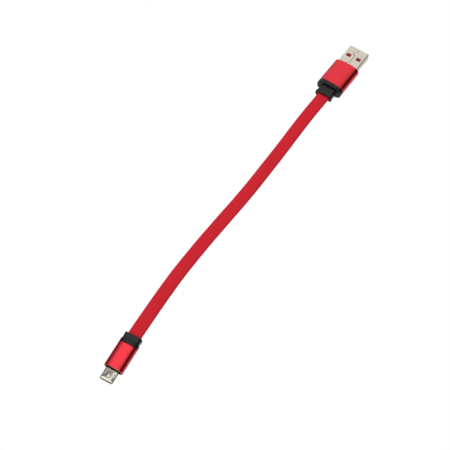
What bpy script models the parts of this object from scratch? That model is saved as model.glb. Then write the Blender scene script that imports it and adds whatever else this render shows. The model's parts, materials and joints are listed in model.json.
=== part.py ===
"""A short flat charging cable, laid almost straight on a table whose top is z = 0.

The USB-A plug points along +X and the micro-B plug the other way. The origin lies under the middle of
the two plugs' common box. Each plug is modelled about its own tip, +X out of its mouth, and its empty
places it. Lengths are written in millimetres and turned into metres by MM.
"""
import math

import bmesh
import bpy
from mathutils import Matrix, Vector

MM = 0.001

# Layout of the whole cable
A_TIP = (116.6, -0.4)
A_YAW = math.radians(-0.9)
B_TIP = (-116.25, -3.1)
B_YAW = math.radians(186.1)

# USB-A plug, measured back from its tip
A_SHELL_WIDTH = 12.0
A_SHELL_HEIGHT = 4.5
A_SHELL_WALL = 0.3
A_SHELL_CORNER = 0.65
A_SHELL_LENGTH = 18.6
A_WINDOW_SIZE = (2.0, 2.5)
A_WINDOW_BACK = 6.65
A_WINDOW_SIDE = 3.1
A_SEAM_WIDTH = 0.07
A_SEAM = ((1.0, 0.0), (-2.9, 0.0), (-2.7, 1.3), (-5.1, 1.3), (-4.9, 0.0), (-20.0, 0.0))
A_TONGUE_FRONT = 0.5
A_TONGUE_BOTTOM = 0.05
A_CAVITY_DEPTH = 11.75
A_BASE_END = 17.9
A_CONTACT_SIDES = (3.5, 1.0, -1.0, -3.5)
A_CONTACT_FRONTS = (1.4, 2.4, 2.4, 1.4)
A_CONTACT_WIDTH = 1.0
A_CONTACT_THICK = 0.2
A_TAIL_END = 20.4
A_SLEEVE_START = 13.3
A_SLEEVE_END = 30.1
A_SLEEVE_WIDTH = 15.0
A_SLEEVE_HEIGHT = 7.5
A_SLEEVE_POWER = 3.0
A_FLANGE_START = 30.2
A_FLANGE_END = 32.3
A_NECK_END = 38.1

# Micro-B plug, measured back from its tip
B_SHELL_WIDTH = 6.85
B_SHELL_HEIGHT = 1.8
B_SHELL_WALL = 0.25
B_SHELL_CORNER = 0.45
B_SHELL_LENGTH = 11.0
B_SHELL_CHAMFER_TOP = -0.05
B_SHELL_BOTTOM_WIDTH = 5.1
B_SLOT_SPAN = (1.2, 4.4)
B_SLOT_WIDTH = 0.72
B_LATCH_SIDE = 2.45
B_LATCH_WIDTH = 0.5
B_LATCH_PIVOT = (-9.0, 0.44)
B_CONTACT_PITCH = 0.65
B_CONTACT_COUNT = 5
B_CONTACT_WIDTH = 0.4
B_CONTACT_THICK = 0.15
B_CONTACT_PIVOT = (-9.0, -0.1)
B_BLOCK_START = 5.6
B_BLOCK_END = 10.4
B_SLEEVE_START = 6.1
B_SLEEVE_END = 19.3
B_SLEEVE_WIDTH = 9.8
B_SLEEVE_HEIGHT = 5.8
B_SLEEVE_POWER = 2.8
B_MOULD_START = 7.0
B_FLANGE_START = 19.4
B_FLANGE_END = 21.6
B_NECK_END = 24.7

# Both plugs
SLEEVE_WALL = 0.5
FIT = 0.06          # air left between pieces that touch on the real cable
OVAL_POINTS = 40

# Flat cord
CORD_WIDTH = 7.05
CORD_THICK = 1.58
CORD_CORNER = 0.62
JACKET_WALL = 0.28
CORD_SLOT_AIR = 0.15
CORD_POINT_EVERY = 5.5
WIRE_NAMES = ("wire_vbus", "wire_data_minus", "wire_data_plus", "wire_ground")
WIRE_LANES = (2.25, 0.75, -0.75, -2.25)
WIRE_RADIUS = 0.44
CORE_RADIUS = 0.2

A_HEIGHT = A_SLEEVE_HEIGHT / 2
B_HEIGHT = B_SLEEVE_HEIGHT / 2

# The cord's own line, end to end: straight inside each plug, down to the table between them.
ROUTE = (
    (89.1, 0.03, A_HEIGHT),
    (83.6, 0.1, A_HEIGHT),
    (78.8, 0.1, A_HEIGHT),
    (73.6, 0.2, 3.65),
    (66.6, 0.53, 3.2),
    (58.6, 0.83, 2.35),
    (50.6, 0.99, 1.45),
    (42.6, 0.98, 0.95),
    (34.6, 0.9, 0.82),
    (21.6, 0.85, 0.82),
    (9.6, 0.84, 0.82),
    (-2.4, 1.15, 0.82),
    (-14.4, 1.7, 0.82),
    (-32.4, 2.4, 0.82),
    (-49.4, 2.6, 0.82),
    (-57.4, 2.4, 0.86),
    (-65.4, 1.95, 1.1),
    (-73.4, 1.3, 1.65),
    (-80.4, 0.58, 2.35),
    (-86.4, 0.02, 2.8),
    (-91.1, -0.41, B_HEIGHT),
    (-95.6, -0.89, B_HEIGHT),
    (-100.1, -1.37, B_HEIGHT),
)


# Scene and materials

def clear_scene():
    for old in list(bpy.data.objects):
        bpy.data.objects.remove(old, do_unlink=True)


def new_collection(name):
    collection = bpy.data.collections.new(name)
    bpy.context.scene.collection.children.link(collection)
    return collection


def plastic(name, colour, roughness):
    return surface(name, colour, roughness, 0.0)


def metal(name, colour, roughness):
    return surface(name, colour, roughness, 1.0)


def surface(name, colour, roughness, metallic):
    made = bpy.data.materials.new(name)
    made.use_nodes = True
    shader = made.node_tree.nodes["Principled BSDF"]
    shader.inputs["Base Color"].default_value = (*colour, 1.0)
    shader.inputs["Roughness"].default_value = roughness
    shader.inputs["Metallic"].default_value = metallic
    made.diffuse_color = (*colour, 1.0)
    return made


# Outlines, as (y, z) points in millimetres, all anticlockwise seen from the tip

def oval(width, height, power, count=OVAL_POINTS):
    """A crowned oval whose top, bottom and sides end in short flats."""
    points = []
    for step in range(count):
        angle = 2 * math.pi * (step + 0.5) / count
        y = math.copysign(abs(math.cos(angle)) ** (2 / power), math.cos(angle))
        z = math.copysign(abs(math.sin(angle)) ** (2 / power), math.sin(angle))
        points.append((y, z))
    half_width = max(y for y, z in points)
    half_height = max(z for y, z in points)
    return [(y / half_width * width / 2, z / half_height * height / 2) for y, z in points]


def rounded(corners, radius, inset=0.0, steps=3):
    """A convex polygon with each corner rounded, then moved in all round by inset."""
    points = []
    for index, corner in enumerate(corners):
        here = Vector(corner)
        back = (Vector(corners[index - 1]) - here).normalized()
        ahead = (Vector(corners[(index + 1) % len(corners)]) - here).normalized()
        bisector = (back + ahead).normalized()
        half = back.angle(ahead) / 2
        centre = here + bisector * radius / math.sin(half)
        middle = math.atan2(-bisector.y, -bisector.x)
        sweep = math.pi / 2 - half
        for step in range(steps + 1):
            angle = middle - sweep + 2 * sweep * step / steps
            out = Vector((math.cos(angle), math.sin(angle)))
            points.append(tuple(centre + out * (radius - inset)))
    return points


def rectangle(width, height, radius, inset=0.0, steps=3):
    y = width / 2
    z = height / 2
    return rounded(((y, z), (-y, z), (-y, -z), (y, -z)), radius, inset, steps)


def neck(width, height, radius):
    """A rounded rectangle with as many points as an oval, so that a collar can change from one to the other."""
    return rectangle(width, height, radius, 0.0, OVAL_POINTS // 4 - 1)


def a_shell_outline(inset=0.0):
    return rectangle(A_SHELL_WIDTH, A_SHELL_HEIGHT, A_SHELL_CORNER, inset)


def b_shell_outline(inset=0.0):
    """Full width at the top, with both lower corners cut away."""
    y = B_SHELL_WIDTH / 2
    z = B_SHELL_HEIGHT / 2
    low = B_SHELL_BOTTOM_WIDTH / 2
    corners = ((y, z), (-y, z), (-y, B_SHELL_CHAMFER_TOP), (-low, -z), (low, -z), (y, B_SHELL_CHAMFER_TOP))
    return rounded(corners, B_SHELL_CORNER, inset)


# Solids

def placed(name, mesh, material, parent, place=(0.0, 0.0, 0.0)):
    obj = bpy.data.objects.new(name, mesh)
    PARTS.objects.link(obj)
    obj.parent = parent
    obj.location = Vector(place) * MM
    mesh.materials.clear()
    mesh.materials.append(material)
    return obj


def shade(mesh, degrees=35):
    mesh.shade_smooth()
    mesh.set_sharp_from_angle(angle=math.radians(degrees))


def to_mesh(name, work):
    bmesh.ops.recalc_face_normals(work, faces=work.faces)
    bmesh.ops.scale(work, vec=(MM, MM, MM), verts=work.verts)
    mesh = bpy.data.meshes.new(name)
    work.to_mesh(mesh)
    work.free()
    shade(mesh)
    return mesh


def skin(name, rings, ends):
    """Faces between rings of like-numbered points. The ends are capped, joined to each other, or left open."""
    work = bmesh.new()
    rings = [[work.verts.new(point) for point in ring] for ring in rings]
    pairs = list(zip(rings, rings[1:]))
    if ends == "joined":
        pairs.append((rings[-1], rings[0]))
    for near, far in pairs:
        for step in range(len(near)):
            after = (step + 1) % len(near)
            work.faces.new((near[step], near[after], far[after], far[step]))
    if ends == "capped":
        work.faces.new(rings[0])
        work.faces.new(rings[-1])
    return to_mesh(name, work)


def loft(name, sections, ends="capped"):
    """Skin sections of (x, outline) that stand square to X."""
    return skin(name, [[(x, y, z) for y, z in outline] for x, outline in sections], ends)


def block(name, low, high):
    work = bmesh.new()
    size = [b - a for a, b in zip(low, high)]
    middle = [(a + b) / 2 for a, b in zip(low, high)]
    bmesh.ops.create_cube(work, size=1.0, matrix=Matrix.Translation(middle) @ Matrix.Diagonal((*size, 1.0)))
    return to_mesh(name, work)


def side_profile(name, outline, width):
    """A flat outline in (x, z), filled and given its width along Y."""
    curve = bpy.data.curves.new(name, "CURVE")
    curve.dimensions = "2D"
    curve.fill_mode = "BOTH"
    curve.extrude = width / 2
    spline = curve.splines.new("POLY")
    spline.points.add(len(outline) - 1)
    for point, (x, z) in zip(spline.points, outline):
        point.co = (x, z, 0.0, 1.0)
    spline.use_cyclic_u = True
    flat = bpy.data.objects.new(name, curve)
    PARTS.objects.link(flat)
    bpy.context.view_layer.update()
    mesh = bpy.data.meshes.new_from_object(flat.evaluated_get(bpy.context.evaluated_depsgraph_get()))
    bpy.data.objects.remove(flat)
    bpy.data.curves.remove(curve)
    work = bmesh.new()
    work.from_mesh(mesh)
    bpy.data.meshes.remove(mesh)
    bmesh.ops.remove_doubles(work, verts=work.verts, dist=0.001)
    bmesh.ops.rotate(work, matrix=Matrix.Rotation(math.pi / 2, 3, "X"), verts=work.verts)
    return to_mesh(name, work)


def bent_strip(name, line, width, thickness, material, parent, place):
    """A sheet-metal strip: its side line in (x, z), its width along Y, thickened by Solidify."""
    work = bmesh.new()
    rows = [[work.verts.new((x, side * width / 2, z)) for side in (-1, 1)] for x, z in line]
    for near, far in zip(rows, rows[1:]):
        work.faces.new((near[0], near[1], far[1], far[0]))
    strip = placed(name, to_mesh(name, work), material, parent, place)
    skin = strip.modifiers.new("thickness", "SOLIDIFY")
    skin.thickness = thickness * MM
    skin.offset = 0.0
    return strip


def operate(target, mesh, operation, parent):
    """Join a mesh to the target, or cut it out, by a Boolean with a helper that isn't drawn."""
    helper = bpy.data.objects.new(mesh.name, mesh)
    CUTTERS.objects.link(helper)
    helper.parent = parent
    helper.hide_render = True
    helper.display_type = "WIRE"
    change = target.modifiers.new(mesh.name, "BOOLEAN")
    change.operation = operation
    change.object = helper
    return helper


def cut(target, mesh):
    return operate(target, mesh, "DIFFERENCE", target.parent)


def cut_box(target, name, low, high):
    return cut(target, block(name, low, high))


def empty(name, place, yaw=0.0):
    made = bpy.data.objects.new(name, None)
    PARTS.objects.link(made)
    made.location = Vector(place) * MM
    made.rotation_euler = (0.0, 0.0, yaw)
    return made


def sleeve(name, start, end, width, height, power, material, parent):
    """An aluminium tube with small bevels on its two outer rims."""
    bevel = 0.2
    inner = oval(width - 2 * SLEEVE_WALL, height - 2 * SLEEVE_WALL, power)
    outer = oval(width, height, power)
    rim = oval(width - bevel, height - bevel, power)
    sections = (
        (-start, inner),
        (-start, rim),
        (-start - bevel / 2, outer),
        (-end + bevel / 2, outer),
        (-end, rim),
        (-end, inner),
    )
    return placed(name, loft(name, sections, "joined"), material, parent)


def inner_mould(name, start, end, width, height, power, material, parent):
    outline = oval(width - 2 * SLEEVE_WALL - 2 * FIT, height - 2 * SLEEVE_WALL - 2 * FIT, power)
    return placed(name, loft(name, ((-start, outline), (-end, outline))), material, parent)


def cut_cord_slot(target, name, start, end):
    half_width = CORD_WIDTH / 2 + CORD_SLOT_AIR
    half_thick = CORD_THICK / 2 + CORD_SLOT_AIR
    cut_box(target, name, (-end, -half_width, -half_thick), (-start, half_width, half_thick))


# USB-A plug

def build_a_shell(plug):
    """A folded steel box with a butt seam along its top, locked by one dovetail, and four windows."""
    lip = 0.12
    inside = a_shell_outline(A_SHELL_WALL)
    sections = (
        (0.0, inside),
        (0.0, a_shell_outline(lip)),
        (-lip, a_shell_outline()),
        (-A_SHELL_LENGTH, a_shell_outline()),
        (-A_SHELL_LENGTH, inside),
    )
    shell = placed("usb_a_shell", loft("usb_a_shell", sections, "joined"), NICKEL, plug)
    along = A_WINDOW_SIZE[0] / 2
    across = A_WINDOW_SIZE[1] / 2
    for face, low in (("top", 1.0), ("bottom", -3.0)):
        for hand, side in (("left", A_WINDOW_SIDE), ("right", -A_WINDOW_SIDE)):
            cut_box(
                shell,
                f"cut_window_{face}_{hand}",
                (-A_WINDOW_BACK - along, side - across, low),
                (-A_WINDOW_BACK + along, side + across, low + 2.0),
            )
    work = bmesh.new()
    columns = [[work.verts.new((x, y, z)) for z in (1.0, 3.0)] for x, y in A_SEAM]
    for near, far in zip(columns, columns[1:]):
        work.faces.new((near[0], far[0], far[1], near[1]))
    seam = cut(shell, to_mesh("cut_seam", work))
    kerf = seam.modifiers.new("kerf", "SOLIDIFY")
    kerf.thickness = A_SEAM_WIDTH * MM
    kerf.offset = 0.0
    kerf.use_even_offset = True
    return shell


def build_a_insulator(plug):
    """The plastic tongue in the upper half of the mouth and the base that fills the shell behind it."""
    top = A_SHELL_HEIGHT / 2 - A_SHELL_WALL - 0.08
    width = A_SHELL_WIDTH - 2 * A_SHELL_WALL - 0.4
    outline = (
        (-A_TONGUE_FRONT, A_TONGUE_BOTTOM + 0.3),
        (-A_TONGUE_FRONT - 0.3, A_TONGUE_BOTTOM),
        (-A_CAVITY_DEPTH, A_TONGUE_BOTTOM),
        (-A_CAVITY_DEPTH, -top),
        (-A_BASE_END, -top),
        (-A_BASE_END, top),
        (-A_TONGUE_FRONT - 0.3, top),
        (-A_TONGUE_FRONT, top - 0.3),
    )
    insulator = placed("usb_a_insulator", side_profile("usb_a_insulator", outline, width), RED_PLASTIC, plug)
    half = A_CONTACT_WIDTH / 2 + FIT
    for index, side in enumerate(A_CONTACT_SIDES):
        cut_box(
            insulator,
            f"cut_contact_slot_{index + 1}",
            (-A_BASE_END - 1.0, side - half, A_TONGUE_BOTTOM - A_CONTACT_THICK - 2 * FIT),
            (-A_CAVITY_DEPTH + 0.6, side + half, A_TONGUE_BOTTOM + 0.02),
        )
    return insulator


def build_a_contacts(plug):
    names = ("usb_a_contact_vbus", "usb_a_contact_data_minus", "usb_a_contact_data_plus", "usb_a_contact_ground")
    top = A_TONGUE_BOTTOM - 0.04
    low = top - A_CONTACT_THICK
    for name, side, front in zip(names, A_CONTACT_SIDES, A_CONTACT_FRONTS):
        outline = (
            (-front, top),
            (-A_TAIL_END, top),
            (-A_TAIL_END, low),
            (-front - 0.5, low),
        )
        placed(name, side_profile(name, outline, A_CONTACT_WIDTH), GOLD, plug, (0.0, side, 0.0))


def build_a_body(plug):
    sleeve(
        "usb_a_sleeve", A_SLEEVE_START, A_SLEEVE_END,
        A_SLEEVE_WIDTH, A_SLEEVE_HEIGHT, A_SLEEVE_POWER, RED_ALUMINIUM, plug,
    )
    mould = inner_mould(
        "usb_a_inner_mould", A_SLEEVE_START + 0.15, A_SLEEVE_END - 0.1,
        A_SLEEVE_WIDTH, A_SLEEVE_HEIGHT, A_SLEEVE_POWER, NATURAL_PLASTIC, plug,
    )
    pocket = a_shell_outline(-FIT)
    pocket_end = A_SHELL_LENGTH + 0.2
    cut(mould, loft("cut_a_shell_pocket", ((-A_SLEEVE_START + 1.0, pocket), (-pocket_end, pocket))))
    cut_box(mould, "cut_a_wire_space", (-26.6, -5.2, -1.7), (-pocket_end + 1.0, 5.2, 1.7))
    cut_cord_slot(mould, "cut_a_mould_cord_slot", 25.6, A_SLEEVE_END + 1.0)

    full = oval(A_SLEEVE_WIDTH, A_SLEEVE_HEIGHT, A_SLEEVE_POWER)
    sections = (
        (-A_FLANGE_START, full),
        (-A_FLANGE_END + 0.5, full),
        (-A_FLANGE_END, oval(A_SLEEVE_WIDTH - 0.7, A_SLEEVE_HEIGHT - 0.7, A_SLEEVE_POWER)),
        (-A_FLANGE_END, neck(9.5, 4.6, 1.3)),
        (-A_NECK_END + 2.0, neck(9.5, 4.3, 1.3)),
        (-A_NECK_END + 0.9, neck(10.2, 4.1, 1.2)),
        (-A_NECK_END, neck(10.1, 3.7, 1.2)),
    )
    collar = placed("usb_a_collar", loft("usb_a_collar", sections), BLACK_PLASTIC, plug)
    cut_cord_slot(collar, "cut_a_collar_cord_slot", A_FLANGE_START - 1.0, A_NECK_END + 1.0)


# Micro-B plug

def build_b_shell(plug):
    lip = 0.1
    inside = b_shell_outline(B_SHELL_WALL)
    sections = (
        (0.0, inside),
        (0.0, b_shell_outline(lip)),
        (-lip, b_shell_outline()),
        (-B_SHELL_LENGTH, b_shell_outline()),
        (-B_SHELL_LENGTH, inside),
    )
    shell = placed("micro_shell", loft("micro_shell", sections, "joined"), NICKEL, plug)
    for hand, side in (("left", B_LATCH_SIDE), ("right", -B_LATCH_SIDE)):
        cut_box(
            shell,
            f"cut_latch_slot_{hand}",
            (-B_SLOT_SPAN[1], side - B_SLOT_WIDTH / 2, 0.3),
            (-B_SLOT_SPAN[0], side + B_SLOT_WIDTH / 2, 2.0),
        )
    return shell


def build_b_insulator(plug):
    """A block behind the mouth with a thin floor reaching forward under the contact springs."""
    outline = b_shell_outline(B_SHELL_WALL + FIT)
    sections = ((-B_BLOCK_START, outline), (-B_BLOCK_END, outline))
    insulator = placed("micro_insulator", loft("micro_insulator", sections), RED_PLASTIC, plug)
    floor = block("join_floor", (-B_BLOCK_START - 0.5, -1.9, -0.585), (-1.0, 1.9, -0.42))
    operate(insulator, floor, "UNION", plug)
    half = B_CONTACT_WIDTH / 2 + FIT
    for index, side in enumerate(contact_sides()):
        cut_box(
            insulator,
            f"cut_spring_slot_{index + 1}",
            (-B_BLOCK_END - 1.0, side - half, -0.36),
            (-B_BLOCK_START + 1.0, side + half, 0.12),
        )
    half = B_LATCH_WIDTH / 2 + 0.08
    for hand, side in (("left", B_LATCH_SIDE), ("right", -B_LATCH_SIDE)):
        cut_box(
            insulator,
            f"cut_latch_channel_{hand}",
            (-9.9, side - half, -0.15),
            (-B_BLOCK_START + 1.0, side + half, 1.5),
        )
    return insulator


def contact_sides():
    middle = (B_CONTACT_COUNT - 1) / 2
    return [(middle - index) * B_CONTACT_PITCH for index in range(B_CONTACT_COUNT)]


def build_b_contacts(plug):
    """Five gold springs, each with its origin on the line where its beam bends."""
    pivot_x, pivot_z = B_CONTACT_PIVOT
    line = ((-12.6, -0.1), (-5.2, -0.1), (-2.9, 0.0), (-2.2, 0.14), (-1.8, 0.14), (-1.35, -0.02))
    local = [(x - pivot_x, z - pivot_z) for x, z in line]
    for index, side in enumerate(contact_sides()):
        bent_strip(
            f"micro_contact_spring_{index + 1}", local, B_CONTACT_WIDTH, B_CONTACT_THICK,
            GOLD, plug, (pivot_x, side, pivot_z),
        )


def build_b_latches(plug):
    """Two sprung arms whose hooks stand out of the shell's top and press down into it."""
    pivot_x, pivot_z = B_LATCH_PIVOT
    outline = (
        (-9.6, 0.3),
        (-1.75, 0.3),
        (-1.5, 0.44),
        (-1.5, 0.58),
        (-2.3, 1.22),
        (-2.5, 1.22),
        (-2.62, 0.58),
        (-9.6, 0.58),
    )
    local = [(x - pivot_x, z - pivot_z) for x, z in outline]
    for hand, side in (("left", B_LATCH_SIDE), ("right", -B_LATCH_SIDE)):
        name = f"micro_latch_{hand}"
        placed(name, side_profile(name, local, B_LATCH_WIDTH), SPRING_STEEL, plug, (pivot_x, side, pivot_z))


def build_b_body(plug):
    sleeve(
        "micro_sleeve", B_SLEEVE_START, B_SLEEVE_END,
        B_SLEEVE_WIDTH, B_SLEEVE_HEIGHT, B_SLEEVE_POWER, RED_ALUMINIUM, plug,
    )
    mould = inner_mould(
        "micro_inner_mould", B_MOULD_START, B_SLEEVE_END - 0.1,
        B_SLEEVE_WIDTH, B_SLEEVE_HEIGHT, B_SLEEVE_POWER, BLACK_PLASTIC, plug,
    )
    pocket = b_shell_outline(-FIT)
    pocket_end = B_SHELL_LENGTH + 0.2
    cut(mould, loft("cut_b_shell_pocket", ((-B_MOULD_START + 1.0, pocket), (-pocket_end, pocket))))
    cut_box(mould, "cut_b_wire_space", (-17.6, -3.7, -1.3), (-pocket_end + 0.5, 3.7, 1.3))
    cut_cord_slot(mould, "cut_b_mould_cord_slot", 17.0, B_SLEEVE_END + 1.0)

    full = oval(B_SLEEVE_WIDTH, B_SLEEVE_HEIGHT, B_SLEEVE_POWER)
    sections = (
        (-B_FLANGE_START, full),
        (-B_FLANGE_END + 0.8, full),
        (-B_FLANGE_END, oval(B_SLEEVE_WIDTH - 0.7, B_SLEEVE_HEIGHT - 0.9, B_SLEEVE_POWER)),
        (-B_FLANGE_END, neck(8.8, 4.5, 1.2)),
        (-B_NECK_END + 0.4, neck(9.1, 4.2, 1.2)),
        (-B_NECK_END, neck(8.6, 3.7, 1.0)),
    )
    collar = placed("micro_collar", loft("micro_collar", sections), BLACK_PLASTIC, plug)
    cut_cord_slot(collar, "cut_b_collar_cord_slot", B_FLANGE_START - 1.0, B_NECK_END + 1.0)


# Flat cord

def smooth_line(points, spacing):
    """Points about evenly spaced on the Catmull-Rom curve through the given ones, in millimetres."""
    knots = [Vector(point) for point in points]
    knots = [knots[0] * 2 - knots[1]] + knots + [knots[-1] * 2 - knots[-2]]
    dense = []
    parts = 12
    for a, b, c, d in zip(knots, knots[1:], knots[2:], knots[3:]):
        for part in range(parts):
            t = part / parts
            bend = (2 * a - 5 * b + 4 * c - d) * t * t + (3 * b - a - 3 * c + d) * t ** 3
            dense.append((2 * b + (c - a) * t + bend) / 2)
    dense.append(knots[-2])
    travelled = [0.0]
    for near, far in zip(dense, dense[1:]):
        travelled.append(travelled[-1] + (far - near).length)
    count = round(travelled[-1] / spacing)
    line = []
    reached = 0
    for step in range(count + 1):
        wanted = travelled[-1] * step / count
        while reached < len(dense) - 2 and travelled[reached + 1] < wanted:
            reached += 1
        share = (wanted - travelled[reached]) / (travelled[reached + 1] - travelled[reached])
        line.append(dense[reached].lerp(dense[reached + 1], share))
    return line


def directions(line):
    """For each point of the line, its level side direction, to the left seen along it, and its up direction."""
    found = []
    for index in range(len(line)):
        ahead = line[min(index + 1, len(line) - 1)] - line[max(index - 1, 0)]
        side = Vector((-ahead.y, ahead.x, 0.0)).normalized()
        found.append((side, ahead.normalized().cross(side)))
    return found


def lane(line, offset):
    return [point + side * offset for point, (side, up) in zip(line, directions(line))]


def line_curve(name, points, radii=None):
    curve = bpy.data.curves.new(name, "CURVE")
    curve.dimensions = "3D"
    spline = curve.splines.new("POLY")
    spline.points.add(len(points) - 1)
    for index, point in enumerate(points):
        spline.points[index].co = (*(Vector(point) * MM), 1.0)
        if radii:
            spline.points[index].radius = radii[index] / WIRE_RADIUS
    return curve


def curve_object(name, curve, material):
    curve.materials.append(material)
    obj = bpy.data.objects.new(name, curve)
    PARTS.objects.link(obj)
    return obj


def build_jacket(line):
    """The flat red jacket: one outline carried along the route, thickened inwards, open at both ends."""
    outline = rectangle(CORD_WIDTH, CORD_THICK, CORD_CORNER)
    rings = []
    for point, (side, up) in zip(line, directions(line)):
        rings.append([point + side * y + up * z for y, z in outline])
    jacket = placed("cable_jacket", skin("cable_jacket", rings, "open"), RED_JACKET, None)
    wall = jacket.modifiers.new("wall", "SOLIDIFY")
    wall.thickness = JACKET_WALL * MM
    wall.offset = -1.0
    return jacket


def build_wires(line, a_place, b_place):
    """Four insulated wires: soldered to the contacts, spread inside the plugs, side by side in the jacket."""
    materials = (WIRE_RED, WIRE_WHITE, WIRE_GREEN, WIRE_BLACK)
    b_sides = [-contact_sides()[index] for index in (4, 3, 2, 0)]
    for name, offset, a_side, b_side, material in zip(WIRE_NAMES, WIRE_LANES, A_CONTACT_SIDES, b_sides, materials):
        points = []
        radii = []
        for back, side, up, radius in (
            (18.9, a_side, 0.3, CORE_RADIUS),
            (20.5, a_side, 0.3, CORE_RADIUS),
            (21.0, a_side, 0.4, WIRE_RADIUS),
            (22.5, 0.7 * a_side + 0.3 * offset, 0.3, WIRE_RADIUS),
            (24.5, 0.3 * a_side + 0.7 * offset, 0.1, WIRE_RADIUS),
            (26.2, offset, 0.0, WIRE_RADIUS),
        ):
            points.append(a_place @ Vector((-back, side, up)))
            radii.append(radius)
        middle = lane(line, -offset)
        points += middle
        radii += [WIRE_RADIUS] * len(middle)
        for back, side, up, radius in (
            (16.2, 0.8 * offset, 0.0, WIRE_RADIUS),
            (14.6, 0.7 * offset, 0.15, WIRE_RADIUS),
            (13.9, 0.7 * offset, 0.3, CORE_RADIUS),
            (12.8, b_side, 0.32, CORE_RADIUS),
            (11.4, b_side, 0.32, CORE_RADIUS),
        ):
            points.append(b_place @ Vector((-back, -side, up)))
            radii.append(radius)
        curve = line_curve(name, points, radii)
        curve.bevel_depth = WIRE_RADIUS * MM
        curve.bevel_resolution = 1
        curve.use_fill_caps = True
        curve_object(name, curve, material)


clear_scene()
PARTS = new_collection("flat_charging_cable")
CUTTERS = new_collection("cutters")
NICKEL = metal("nickel_steel", (0.66, 0.61, 0.54), 0.28)
SPRING_STEEL = metal("spring_steel", (0.55, 0.54, 0.52), 0.3)
GOLD = metal("gold_plate", (0.83, 0.62, 0.28), 0.25)
RED_ALUMINIUM = metal("red_anodised_aluminium", (0.78, 0.03, 0.05), 0.3)
RED_PLASTIC = plastic("red_insulator", (0.42, 0.02, 0.04), 0.5)
BLACK_PLASTIC = plastic("black_plastic", (0.03, 0.032, 0.034), 0.5)
NATURAL_PLASTIC = plastic("natural_plastic", (0.75, 0.73, 0.68), 0.5)
RED_JACKET = plastic("red_jacket", (0.62, 0.012, 0.02), 0.55)
WIRE_RED = plastic("wire_red", (0.6, 0.02, 0.02), 0.45)
WIRE_WHITE = plastic("wire_white", (0.8, 0.8, 0.78), 0.45)
WIRE_GREEN = plastic("wire_green", (0.02, 0.3, 0.06), 0.45)
WIRE_BLACK = plastic("wire_black", (0.02, 0.02, 0.02), 0.45)

usb_a_plug = empty("usb_a_plug", (*A_TIP, A_HEIGHT), A_YAW)
build_a_shell(usb_a_plug)
build_a_insulator(usb_a_plug)
build_a_contacts(usb_a_plug)
build_a_body(usb_a_plug)

micro_plug = empty("micro_plug", (*B_TIP, B_HEIGHT), B_YAW)
build_b_shell(micro_plug)
build_b_insulator(micro_plug)
build_b_contacts(micro_plug)
build_b_latches(micro_plug)
build_b_body(micro_plug)

a_place = Matrix.Translation((*A_TIP, A_HEIGHT)) @ Matrix.Rotation(A_YAW, 4, "Z")
b_place = Matrix.Translation((*B_TIP, B_HEIGHT)) @ Matrix.Rotation(B_YAW, 4, "Z")
cord_line = smooth_line(ROUTE, CORD_POINT_EVERY)
build_jacket(cord_line)
build_wires(cord_line, a_place, b_place)
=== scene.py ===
"""Looks of the flat charging cable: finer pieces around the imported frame, materials, light and camera.

Shapes are given in millimetres, which to_mesh turns into metres. A length times MM is in metres already.
Each plug has a frame of its own, with its origin at the plug's tip and +X out of its mouth, found from the
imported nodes, mounts and joints.
"""
import json
import math

import bmesh
import bpy
from mathutils import Matrix, Vector


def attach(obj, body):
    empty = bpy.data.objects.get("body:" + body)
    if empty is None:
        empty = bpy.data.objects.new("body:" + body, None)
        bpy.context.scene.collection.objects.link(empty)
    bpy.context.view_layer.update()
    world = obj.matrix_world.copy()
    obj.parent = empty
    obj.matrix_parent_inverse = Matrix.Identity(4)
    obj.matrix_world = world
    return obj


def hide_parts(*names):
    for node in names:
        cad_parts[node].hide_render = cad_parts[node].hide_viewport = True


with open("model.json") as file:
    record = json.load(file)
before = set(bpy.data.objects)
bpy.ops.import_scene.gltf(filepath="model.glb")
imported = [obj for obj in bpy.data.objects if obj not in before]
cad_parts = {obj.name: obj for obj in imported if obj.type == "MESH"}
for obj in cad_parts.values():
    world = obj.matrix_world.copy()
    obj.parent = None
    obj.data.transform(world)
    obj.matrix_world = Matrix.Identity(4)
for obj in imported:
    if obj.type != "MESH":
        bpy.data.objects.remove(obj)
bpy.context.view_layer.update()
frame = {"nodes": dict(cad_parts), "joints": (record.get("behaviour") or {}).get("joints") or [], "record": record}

MM = 0.001
NODES = frame["nodes"]

# What the camera sees: place, the point it looks at, roll and lens
CAMERA_PLACE = Vector((-195.1, -126.6, 382.45)) * MM
CAMERA_TARGET = Vector((-16.8, -0.4, 0.0)) * MM
CAMERA_ROLL = -0.013
CAMERA_LENS = 69.6
CAMERA_SENSOR = 36.0
CAMERA_CLIP = (0.01, 10.0)

# The cord's own line in millimetres, as in the CAD
PLUG_A_HEIGHT = 3.75
PLUG_B_HEIGHT = 2.9
ROUTE = (
    (89.1, 0.03, PLUG_A_HEIGHT),
    (83.6, 0.1, PLUG_A_HEIGHT),
    (78.8, 0.1, PLUG_A_HEIGHT),
    (73.6, 0.2, 3.65),
    (66.6, 0.53, 3.2),
    (58.6, 0.83, 2.35),
    (50.6, 0.99, 1.45),
    (42.6, 0.98, 0.95),
    (34.6, 0.9, 0.82),
    (21.6, 0.85, 0.82),
    (9.6, 0.84, 0.82),
    (-2.4, 1.15, 0.82),
    (-14.4, 1.7, 0.82),
    (-32.4, 2.4, 0.82),
    (-49.4, 2.6, 0.82),
    (-57.4, 2.4, 0.86),
    (-65.4, 1.95, 1.1),
    (-73.4, 1.3, 1.65),
    (-80.4, 0.58, 2.35),
    (-86.4, 0.02, 2.8),
    (-91.1, -0.41, PLUG_B_HEIGHT),
    (-95.6, -0.89, PLUG_B_HEIGHT),
    (-100.1, -1.37, PLUG_B_HEIGHT),
)
CORD_WIDTH = 7.05
CORD_THICK = 1.58
CORD_CORNER = 0.74
CORD_WALL = 0.28
CORD_CORNER_STEPS = 6
CORD_STATION_EVERY = 1.3
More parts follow.
